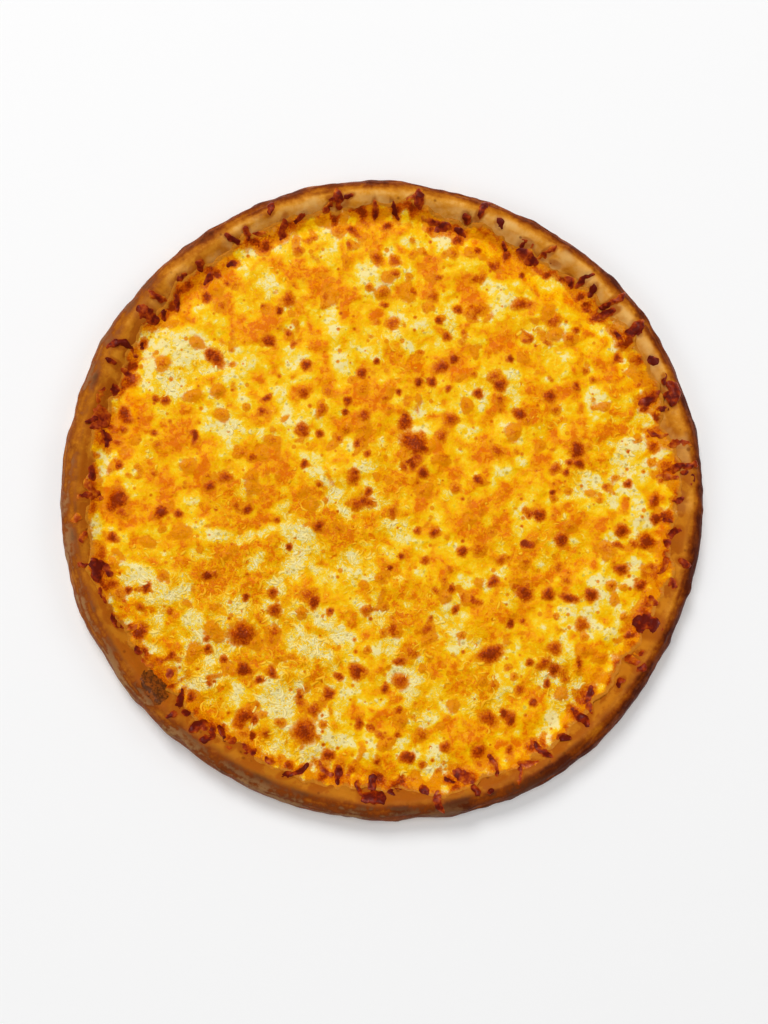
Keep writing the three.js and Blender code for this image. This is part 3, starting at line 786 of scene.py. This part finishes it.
def meltedCheeseFinish():
    # Mozzarella and cheddar melted together in a hot oven: moist, glossy and a little see-through, from
    # cream to deep orange, with curd grains, pores darkened by painted shade, pulled threads, pale lines
    # partly of painted sheen highlights, and brown toasted spots.
    look = {
        # the share of the sheet up to each shade, whitest first
        "shades": [(0.0, "#f8e498"), (0.08, "#f9da66"), (0.17, "#fcd234"), (0.27, "#fdcc14"),
                   (0.4, "#fdc202"), (0.58, "#fbb500"), (0.76, "#f8a200"), (0.92, "#f18c00"), (1, "#e87600")],
        "spots": [(0.05, "#f09600"), (0.3, "#da7200"), (0.5, "#ce5e00"), (0.75, "#b84600"), (1, "#8e2e00")],
        # pore: painted shade in the pits; thread: pale cheese fibre with painted sheen highlights
        "pore": "#b8922e", "thread": "#faecb0", "halo": "#e58500", "thin": "#c67a1c",
        # millimetres, detail, roughness and distortion; real curd is finer than this grain, which is drawn
        # as coarse as it needs to show
        "noises": {"blotch": (3, 3, 0.6, 0), "grain": (1.1, 1.5, 0.5, 0), "clump": (3.8, 1.5, 0.5, 0.6),
                   "curl": (2.3, 1, 0.5, 1.1), "secondCurl": (3.1, 1, 0.5, 0.8)},
        "lineStrength": (0.85, 0.15),  # how much more they show where threads do, and everywhere
        "poreSpacing": 4.2, "poreSwing": -0.22,
        # flecks: apart, how their sizes swing and start, how they fade outwards, and the darkest
        "fleckSpacing": 8.5, "fleckSizes": (0.75, 0.12), "fleckFade": -3.2, "fleckBake": 0.75,
        "unevenOrange": 0.6, "grainyOrange": 0.4, "paleSheenLines": -0.26, "orangeLevel": -0.46,
        "raggedSpots": 0.32, "grainySpots": 0.22, "spotLevel": -0.25,
        "unevenBake": 0.7, "grainyBake": 0.7, "bakeLevel": -0.37, "grainySolid": 0.9, "raggedEdge": 1.1,
        "relief": {"grain": 0.8, "pore": -0.6, "line": 0.5, "curd": -1.5},
        # each mask: from where to where it runs, and what it is at both ends
        "spans": {"line": (0.012, 0.05, 1, 0), "curd": (0.4, 0.58, 0.1, -0.12), "white": (0, 0.45, 0.6, 0),
                  "hole": (-0.06, 0.06, 1, 0), "pored": (0.1, 0.4, 0.55, 0), "halo": (0.2, 0.46, 0, 0.9),
                  "disc": (0.35, 0.62, 0, 1), "solid": (0.35, 0.95, 0.45, 1),
                  "core": (0.42, 0.96, 0.74, 0.17), "thin": (0.95, 1.4, 0, 1),
                  "gloss": (0.3, 0.7, 0.12, 0.3)},
    }
    span = look["spans"]
    material, add, shader, place = newMaterial("ovenMeltedMozzarellaAndCheddar")
    orange, spot, baked, threads, thinEdge = [add("Attribute", attribute_name=key, out="Fac") for key in
                                              ("orange", "spot", "baked", "threads", "thinEdge")]
    blotch, grain, clump, *curls = [
        add("TexNoise", {"Vector": place, "Scale": perMetre(size), "Detail": detail, "Roughness": rough,
                         "Distortion": warp}) for size, detail, rough, warp in look["noises"].values()]
    # curly lines: where a warped noise is near its middle value; pale cheese fibres, partly painted sheen
    # highlights
    line = 0
    for curl in curls:
        off = add("Math", [curl, 0.5], operation="SUBTRACT")
        far = add("Math", [off], operation="ABSOLUTE")
        near = add("MapRange", [far, *span["line"]], interpolation_type="SMOOTHSTEP")
        line = add("Math", [near, line], operation="MAXIMUM")
    strength = add("Math", [threads, *look["lineStrength"]], operation="MULTIPLY_ADD")
    lineMask = add("Math", [line, strength], operation="MULTIPLY")
    curd = add("MapRange", [clump, *span["curd"]], interpolation_type="SMOOTHSTEP")
    # how orange: the sheet's own amount, uneven by blotches and grains and paler along the lines, partly as
    # painted sheen
    amount = add("Math", [curd, look["orangeLevel"]], operation="ADD")
    for part, share in ((orange, 1), (blotch, look["unevenOrange"]), (grain, look["grainyOrange"]),
                        (lineMask, look["paleSheenLines"])):
        amount = add("Math", [part, share, amount], operation="MULTIPLY_ADD")
    cheese = add("ValToRGB", [amount], stops=look["shades"])
    whitish = add("MapRange", [amount, *span["white"]], interpolation_type="SMOOTHSTEP")
    fibreSheen = add("Math", [lineMask, whitish], operation="MULTIPLY")
    # pores, only where the white cheese shows, coloured darker as painted shade in the pits
    pore = add("TexVoronoi", {"Vector": place, "Scale": perMetre(look["poreSpacing"])}, out=None,
               voronoi_dimensions="2D")
    which = add("SeparateColor", [pore.outputs["Color"]])
    reach = add("Math", [which, look["poreSwing"], pore.outputs["Distance"]], operation="MULTIPLY_ADD")
    hole = add("MapRange", [reach, *span["hole"]], interpolation_type="SMOOTHSTEP")
    pale = add("MapRange", [amount, *span["pored"]], interpolation_type="SMOOTHSTEP")
    poreShadeMask = add("Math", [hole, pale], operation="MULTIPLY")
    # the spots: an uneven cone, cut off to a soft-edged disc inside an orange halo
    wide = add("Math", [spot, look["spotLevel"]], operation="ADD")
    for part, share in ((blotch, look["raggedSpots"]), (grain, look["grainySpots"])):
        wide = add("Math", [part, share, wide], operation="MULTIPLY_ADD")
    # small round flecks between the spots, each cell of the pattern with its own size and shade
    fleck = add("TexVoronoi", {"Vector": place, "Scale": perMetre(look["fleckSpacing"])}, out=None,
                voronoi_dimensions="2D")
    draw = add("SeparateColor", [fleck.outputs["Color"]], out=None)
    size = add("Math", [draw.outputs[0], *look["fleckSizes"]], operation="MULTIPLY_ADD")
    off = add("Math", [fleck.outputs["Distance"], look["fleckFade"], size], operation="MULTIPLY_ADD")
    cone = add("Math", [wide, off], operation="MAXIMUM")
    isFleck = add("Math", [off, wide], operation="GREATER_THAN")
    shadeOfFleck = add("Math", [draw.outputs[1], look["fleckBake"]], operation="MULTIPLY")
    bakedHere = add("Mix", {0: isFleck, 2: baked, 3: shadeOfFleck})
    haloMask = add("MapRange", [cone, *span["halo"]], interpolation_type="SMOOTHSTEP")
    disc = add("MapRange", [cone, *span["disc"]], interpolation_type="SMOOTHSTEP")
    # the least baked are half see-through, and uneven
    solid = add("Math", [grain, look["grainySolid"], bakedHere], operation="MULTIPLY_ADD")
    solid = add("MapRange", [solid, *span["solid"]])
    disc = add("Math", [disc, solid], operation="MULTIPLY")
    core = add("MapRange", [cone, *span["core"]], interpolation_type="SMOOTHSTEP")
    burn = add("Math", [bakedHere, look["bakeLevel"]], operation="ADD")
    for part, share in ((blotch, look["unevenBake"]), (grain, look["grainyBake"]), (core, -1)):
        burn = add("Math", [part, share, burn], operation="MULTIPLY_ADD")
    brown = add("ValToRGB", [burn], stops=look["spots"])
    # the edge runs out so thin, here and there, that the greasy dough shows through it
    ragged = add("Math", [blotch, look["raggedEdge"], thinEdge], operation="MULTIPLY_ADD")
    thinMask = add("MapRange", [ragged, *span["thin"]], interpolation_type="SMOOTHSTEP")
    # the pale lines laid on here are partly painted sheen highlights, and the pores painted shade
    surface = cheese
    for mask, over in ((fibreSheen, colour(look["thread"])), (poreShadeMask, colour(look["pore"])),
                       (haloMask, colour(look["halo"])), (disc, brown), (thinMask, colour(look["thin"]))):
        surface = add("Mix", {0: mask, 6: surface, 7: over}, out=2, data_type="RGBA")
    # fine relief: grains, pores sunk and lines raised
    high = blotch
    for part, key in ((grain, "grain"), (poreShadeMask, "pore"), (lineMask, "line"), (curd, "curd")):
        high = add("Math", [part, look["relief"][key], high], operation="MULTIPLY_ADD")
    setInputs(shader, {
        "Base Color": surface,
        "Roughness": add("MapRange", [blotch, *span["gloss"]]),  # wet fat, from smooth to a little dull
        "Normal": add("Bump", {"Strength": 0.8, "Distance": 0.5 * mm, "Height": high}),
        "IOR": 1.45,  # of fat
        "Specular IOR Level": 0.06,  # the photo shows hardly a highlight
        "Subsurface Weight": 0.08, "Subsurface Radius": (1, 0.55, 0.2), "Subsurface Scale": 1.0 * mm,
    })
    return material


def toastedShredFinish():
    # Cheddar shreds toasted hard in the oven: shiny, red brown to nearly black along the top, lighter in
    # the wrinkles. One is dried to an olive brown with black specks.
    look = {
        "shades": [(0, "#e0900a"), (0.25, "#cc6a05"), (0.5, "#b04404"), (0.75, "#8c2602"), (1, "#601002")],
        "dried": "#8a490d", "driedSpeck": "#3a1c06",
        # millimetres, detail and roughness
        "noises": {"grain": (2.6, 3, 0.6), "patch": (6, 2, 0.5), "specks": (2.4, 3, 0.7)},
        "patchy": 1.7, "grainy": 1.3, "onTop": 0.4, "level": -1.82, "driedShare": 0.8,
        "spans": {"speck": (0.44, 0.58, 0, 0.75), "gloss": (0.3, 0.7, 0.25, 0.5)},
    }
    span = look["spans"]
    material, add, shader, place = newMaterial("ovenToastedCheddarShreds")
    toasted, dried, middle = [add("Attribute", attribute_name=key, out="Fac") for key in
                              ("toast", "dried", "middle")]
    grain, patch, specks = [
        add("TexNoise", {"Vector": place, "Scale": perMetre(size), "Detail": detail, "Roughness": rough})
        for size, detail, rough in look["noises"].values()]
    amount = add("Math", [toasted, look["level"]], operation="ADD")
    for part, share in ((patch, look["patchy"]), (grain, look["grainy"]), (middle, look["onTop"])):
        amount = add("Math", [part, share, amount], operation="MULTIPLY_ADD")
    brown = add("ValToRGB", [amount], stops=look["shades"])
    mostly = add("Math", [dried, look["driedShare"]], operation="MULTIPLY")
    olive = add("Mix", {0: mostly, 6: brown, 7: colour(look["dried"])}, out=2, data_type="RGBA")
    dot = add("MapRange", [specks, *span["speck"]], interpolation_type="SMOOTHSTEP")
    dotMask = add("Math", [dot, dried], operation="MULTIPLY")
    setInputs(shader, {
        "Base Color": add("Mix", {0: dotMask, 6: olive, 7: colour(look["driedSpeck"])}, out=2,
                          data_type="RGBA"),
        "Roughness": add("MapRange", [grain, *span["gloss"]]),  # a hard glaze with duller grains
        "Normal": add("Bump", {"Strength": 0.6, "Distance": 0.4 * mm, "Height": grain}),
        "IOR": 1.45,  # of fat
        "Specular IOR Level": 0.14,
    })
    return material


def cheeseThreadFinish():
    # Threads of melted cheese pulled thin: nearly the sheet's own colours but lighter, and shiny with fat.
    look = {"shades": [(0.0, "#f8e8a8"), (0.3, "#fbdb6c"), (0.6, "#fcc828"), (1.0, "#f7a906")],
            "grain": 4, "grainy": 0.6, "level": -0.3}
    material, add, shader, place = newMaterial("pulledCheeseThreads")
    orange = add("Attribute", attribute_name="orange", out="Fac")
    grain = add("TexNoise", {"Vector": place, "Scale": perMetre(look["grain"]), "Detail": 2})
    amount = add("Math", [grain, look["grainy"], orange], operation="MULTIPLY_ADD")
    amount = add("Math", [amount, look["level"]], operation="ADD")
    setInputs(shader, {
        "Base Color": add("ValToRGB", [amount], stops=look["shades"]),
        "Normal": add("Bump", {"Strength": 0.4, "Distance": 0.2 * mm, "Height": grain}),
        "Roughness": 0.25,
        "IOR": 1.45,  # of fat
        "Specular IOR Level": 0.12,
    })
    return material


def bakedDoughFinish():
    # Wheat dough baked on stone: a thin satin skin, golden on the crest and browner at the sides,
    # with painted shade on the outer edge and a painted highlight on the inner slope of the palest side,
    # soaked with fat next to the cheese, dusty with flour low on one side, and mottled underneath.
    # The IOR stays at the shader's 1.5, near that of dry starch.
    look = {
        "shades": [(0, "#f0b45c"), (0.25, "#dd9228"), (0.5, "#bb6c0e"), (0.75, "#8a3d04"), (1, "#521a03")],
        "flour": "#d09c62", "fat": "#cd7f1a", "stain": "#a6520b", "cream": "#ecbc70", "freckle": "#7c3a08",
        "under": [(0.0, "#e3c391"), (0.45, "#cf9d5c"), (0.7, "#a86a2c"), (1.0, "#5e3212")],
        "palestAt": 70, "flouredAt": 215, "sideDarkestAt": 50,  # degrees round the pizza
        # millimetres, detail and roughness; flour and crumb are finer than the grain, which is drawn coarser
        "noises": {"mottle": (18, 4, 0.6), "grain": (2.8, 3, 0.65), "smear": (16, 4, 0.6),
                   "cream": (14, 3, 0.5), "blotch": (16, 5, 0.62), "broad": (68, 2, 0.5)},
        "freckleSpacing": 7,
        # one of these lightens the inner slope on the palest side as a painted highlight
        "paler": -0.3, "mottled": 1.0, "grainy": 0.45, "streaked": 0.05, "paintedLightInside": -0.14, "bubbly": 0.15,
        "level": -0.2,
        # the side's darkening here is partly browning, partly painted shade; the fat is cut on the palest
        # side as painted light
        "sideBrownAndShade": 0.48, "sideSwing": 0.42, "fatShare": 0.8, "paintedLightFatCut": -0.7,
        "spans": {"pale": (0.1, 0.85, 0, 1), "inner": (0, 0.35, 1, 0), "smear": (0.4, 0.56, 0, 1),
                  "stain": (0.1, 0.9, 0, 0.8), "cream": (0.44, 0.68, 0, 0.65),
                  "freckle": (-0.1, 0.04, 0.7, 0), "dusty": (-0.1, 1, 0, 1),
                  "patches": (0.7, 0.9, 0.05, 0.75), "below": (0.22, 0.74), "gloss": (0.3, 0.7, 0.42, 0.62)},
        "freckleSwing": -0.2, "streakedFlour": 0.06, "grainyFlour": 0.5,
        "underEdgeFrom": 0.75, "underEdge": (-0.44, -0.3),  # how brown it is underneath, from there out
        "underBroad": 0.75, "mottledRelief": 0.6,
    }
    span = look["spans"]
    material, add, shader, place = newMaterial("stoneBakedWheatDough")
    side, low, fat, stained, bubble, streak = [add("Attribute", attribute_name=key, out="Fac") for key in
                                               ("side", "low", "fat", "stain", "bubble", "streak")]
    mottle, grain, smear, patch, blotch, broad = [
        add("TexNoise", {"Vector": place, "Scale": perMetre(size), "Detail": detail, "Roughness": rough})
        for size, detail, rough in look["noises"].values()]
    # how far a place lies towards each heading, from -1 to 1 across the pizza
    ahead = [(*polar(perMetre(pizza["outlineRadius"]), math.radians(look[key])), 0)
             for key in ("palestAt", "flouredAt", "sideDarkestAt")]
    palest, floured, darkest = [add("VectorMath", [place, heading], out="Value", operation="DOT_PRODUCT")
                                for heading in ahead]
    # the outer side darkens most towards one heading: partly browning, partly painted shade on the outer edge
    sideways = add("Math", [darkest, look["sideSwing"], look["sideBrownAndShade"]], operation="MULTIPLY_ADD")
    pale = add("MapRange", [palest, *span["pale"]], interpolation_type="SMOOTHSTEP")
    inner = add("MapRange", [side, *span["inner"]], interpolation_type="SMOOTHSTEP")
    # the inner slope on the palest side, made lighter there as a painted highlight
    paintedLitSlope = add("Math", [pale, inner], operation="MULTIPLY")
    amount = add("Math", [palest, look["paler"], look["level"]], operation="MULTIPLY_ADD")
    for part, share in ((mottle, look["mottled"]), (grain, look["grainy"]), (streak, look["streaked"]),
                        (side, sideways), (paintedLitSlope, look["paintedLightInside"]), (bubble, look["bubbly"])):
        amount = add("Math", [part, share, amount], operation="MULTIPLY_ADD")
    skin = add("ValToRGB", [amount], stops=look["shades"])
    # less fat colour on the palest side, which lightens it there as painted light
    browner = add("Math", [pale, look["paintedLightFatCut"], 1], operation="MULTIPLY_ADD")
    browner = add("Math", [browner, fat], operation="MULTIPLY")
    fatMask = add("Math", [browner, look["fatShare"]], operation="MULTIPLY")
    # brown grease: round the shreds, and smeared here and there along the cheese, less on the palest side as
    # painted light
    smeared = add("MapRange", [smear, *span["smear"]], interpolation_type="SMOOTHSTEP")
    smeared = add("Math", [smeared, browner], operation="MULTIPLY")
    brownest = add("Math", [smeared, stained], operation="MAXIMUM")
    stainMask = add("MapRange", [brownest, *span["stain"]], interpolation_type="SMOOTHSTEP")
    stainMask = add("Math", [stainMask, inner], operation="MULTIPLY")
    # cream patches where the cheese's white ran thin on the palest side
    creamMask = add("MapRange", [patch, *span["cream"]], interpolation_type="SMOOTHSTEP")
    creamMask = add("Math", [creamMask, paintedLitSlope], operation="MULTIPLY")
    # freckles, each cell of the pattern with its own size
    freckle = add("TexVoronoi", {"Vector": place, "Scale": perMetre(look["freckleSpacing"])}, out=None)
    draw = add("SeparateColor", [freckle.outputs["Color"]])
    reach = add("Math", [draw, look["freckleSwing"], freckle.outputs["Distance"]],
                operation="MULTIPLY_ADD")
    freckleMask = add("MapRange", [reach, *span["freckle"]], interpolation_type="SMOOTHSTEP")
    # flour: in patches on the side and low down, most towards one heading
    dusty = add("MapRange", [floured, *span["dusty"]], interpolation_type="SMOOTHSTEP")
    dusty = add("Math", [dusty, side], operation="MULTIPLY")
    sifted = add("Math", [streak, look["streakedFlour"], mottle], operation="MULTIPLY_ADD")
    sifted = add("Math", [grain, look["grainyFlour"], sifted], operation="MULTIPLY_ADD")
    patches = add("MapRange", [sifted, *span["patches"]], interpolation_type="SMOOTHSTEP")
    dusty = add("Math", [dusty, patches], operation="MULTIPLY")
    # underneath: blotches, and browner towards the edge
    outwards = add("VectorMath", [place], out="Value", operation="LENGTH")
    radius = pizza["outlineRadius"] * mm
    below = add("MapRange", [outwards, look["underEdgeFrom"] * radius, radius, *look["underEdge"]],
                interpolation_type="SMOOTHSTEP")
    for part, share in ((broad, look["underBroad"]), (blotch, 1)):
        below = add("Math", [part, share, below], operation="MULTIPLY_ADD")
    below = add("MapRange", [below, *span["below"]])
    surface = skin
    for mask, over in ((fatMask, colour(look["fat"])), (stainMask, colour(look["stain"])),
                       (creamMask, colour(look["cream"])), (freckleMask, colour(look["freckle"])),
                       (dusty, colour(look["flour"])), (low, add("ValToRGB", [below], stops=look["under"]))):
        surface = add("Mix", {0: mask, 6: surface, 7: over}, out=2, data_type="RGBA")
    high = add("Math", [mottle, look["mottledRelief"], grain], operation="MULTIPLY_ADD")
    setInputs(shader, {
        "Base Color": surface,
        "Roughness": add("MapRange", [grain, *span["gloss"]]),  # a satin skin, duller in its grains
        "Normal": add("Bump", {"Strength": 0.5, "Distance": 0.5 * mm, "Height": high}),
        "Specular IOR Level": 0.05,
        "Subsurface Weight": 0.05, "Subsurface Radius": (1, 0.6, 0.3), "Subsurface Scale": 1.0 * mm,
    })
    return material


meltedCheese = meltedCheeseFinish()
toastedCheese = toastedShredFinish()
pulledCheese = cheeseThreadFinish()
bakedDough = bakedDoughFinish()
print("finishes made")

onRim = shreds[:, 9] > 0.5
cheeseSheet = makeCheeseSheet(meltedCheese)
makeShreds("toastedEdgeShreds", shreds[~onRim], toastedCheese)
makeShreds("toastedRimFlakes", shreds[onRim], toastedCheese)
makeThreads(pulledCheese)
crustDough = makeCrust(bakedDough)
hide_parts("cheese")
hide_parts("crust")
print("pizza made")

studio = {
    "floorSize": 12,
    "floorDrop": 0.3 * mm,  # under the pizza, so that the two don't share a plane
    "floor": "#fbfbfb",
    "world": 0.26,
    # each light: name, degrees round, degrees up, distance, size, watts
    "lights": [
        ("keySoftbox", 108, 50, 5, 2, 115),
        ("topSoftbox", 100, 82, 5, 2, 58),
        ("rightSoftbox", 15, 42, 5, 2.4, 24),
        ("leftSoftbox", 205, 45, 5, 2.4, 32),
    ],
}


def makeStudio():
    # matte paper for a floor, an even white world and a softbox for each row of lights
    half, low = studio["floorSize"] / 2, -studio["floorDrop"]
    corners = [(-half, -half, low), (half, -half, low), (half, half, low), (-half, half, low)]
    mesh = bpy.data.meshes.new("floor")
    mesh.from_pydata(corners, [], [(0, 1, 2, 3)])
    material, _, shader, _ = newMaterial("matteStudioPaper")
    setInputs(shader, {"Base Color": colour(studio["floor"]), "Roughness": 0.9, "Specular IOR Level": 0})
    mesh.materials.append(material)
    floor = bpy.data.objects.new("floor", mesh)
    bpy.context.scene.collection.objects.link(floor)
    world = bpy.data.worlds.new("studioWorld")
    world.use_nodes = True
    world.node_tree.nodes["Background"].inputs["Color"].default_value = (1, 1, 1, 1)
    world.node_tree.nodes["Background"].inputs["Strength"].default_value = studio["world"]
    bpy.context.scene.world = world
    for name, around, up, distance, size, watts in studio["lights"]:
        lamp = bpy.data.lights.new(name, "AREA")
        lamp.shape = "DISK"
        lamp.size = size
        lamp.energy = watts
        light = bpy.data.objects.new(name, lamp)
        a, e = math.radians(around), math.radians(up)
        light.location = Vector((*polar(math.cos(e), a), math.sin(e))) * distance
        light.rotation_euler = light.location.to_track_quat("Z", "Y").to_euler()
        bpy.context.scene.collection.objects.link(light)
    bpy.context.scene.view_settings.view_transform = "Standard"


view = {
    "imageHeight": 1024, "imageWidth": 768,  # of the photo, in pixels
    "middlePixel": (382.8, 500.4),  # where the middle of the pizza is
    "millimetresPerPixel": 0.5514,
    "distance": 0.75,
    "tilt": 6, "towards": 235,  # degrees from straight down, and which way the camera has moved
    "lookHeight": 12,
    "nearShift": 4.2,  # the nearer side looks larger, which moves the middle of the outline this far
    "sensor": 36,
}


def makeCamera():
    # the camera looks at the middle of the image, with the photo's up along +Y
    scale = view["millimetresPerPixel"] * mm
    right = (view["imageWidth"] / 2 - view["middlePixel"][0]) * scale
    down = (view["imageHeight"] / 2 - view["middlePixel"][1]) * scale
    tilt, towards = math.radians(view["tilt"]), math.radians(view["towards"])
    aside = view["nearShift"] * mm
    target = Vector((right + aside * math.cos(towards), aside * math.sin(towards) - down,
                     view["lookHeight"] * mm))
    back = Vector((math.sin(tilt) * math.cos(towards), math.sin(tilt) * math.sin(towards), math.cos(tilt)))
    across = Vector((0, 1, 0)).cross(back).normalized()
    up = back.cross(across)
    lens = bpy.data.cameras.new("camera")
    lens.sensor_width = view["sensor"]
    lens.lens = view["sensor"] * view["distance"] / (view["imageHeight"] * scale)
    lens.clip_start = 0.01
    camera = bpy.data.objects.new("camera", lens)
    turn = Matrix((across, up, back)).transposed().to_4x4()
    camera.matrix_world = Matrix.Translation(target + back * view["distance"]) @ turn
    bpy.context.scene.collection.objects.link(camera)
    bpy.context.scene.camera = camera


makeStudio()
makeCamera()
print("studio and camera made")
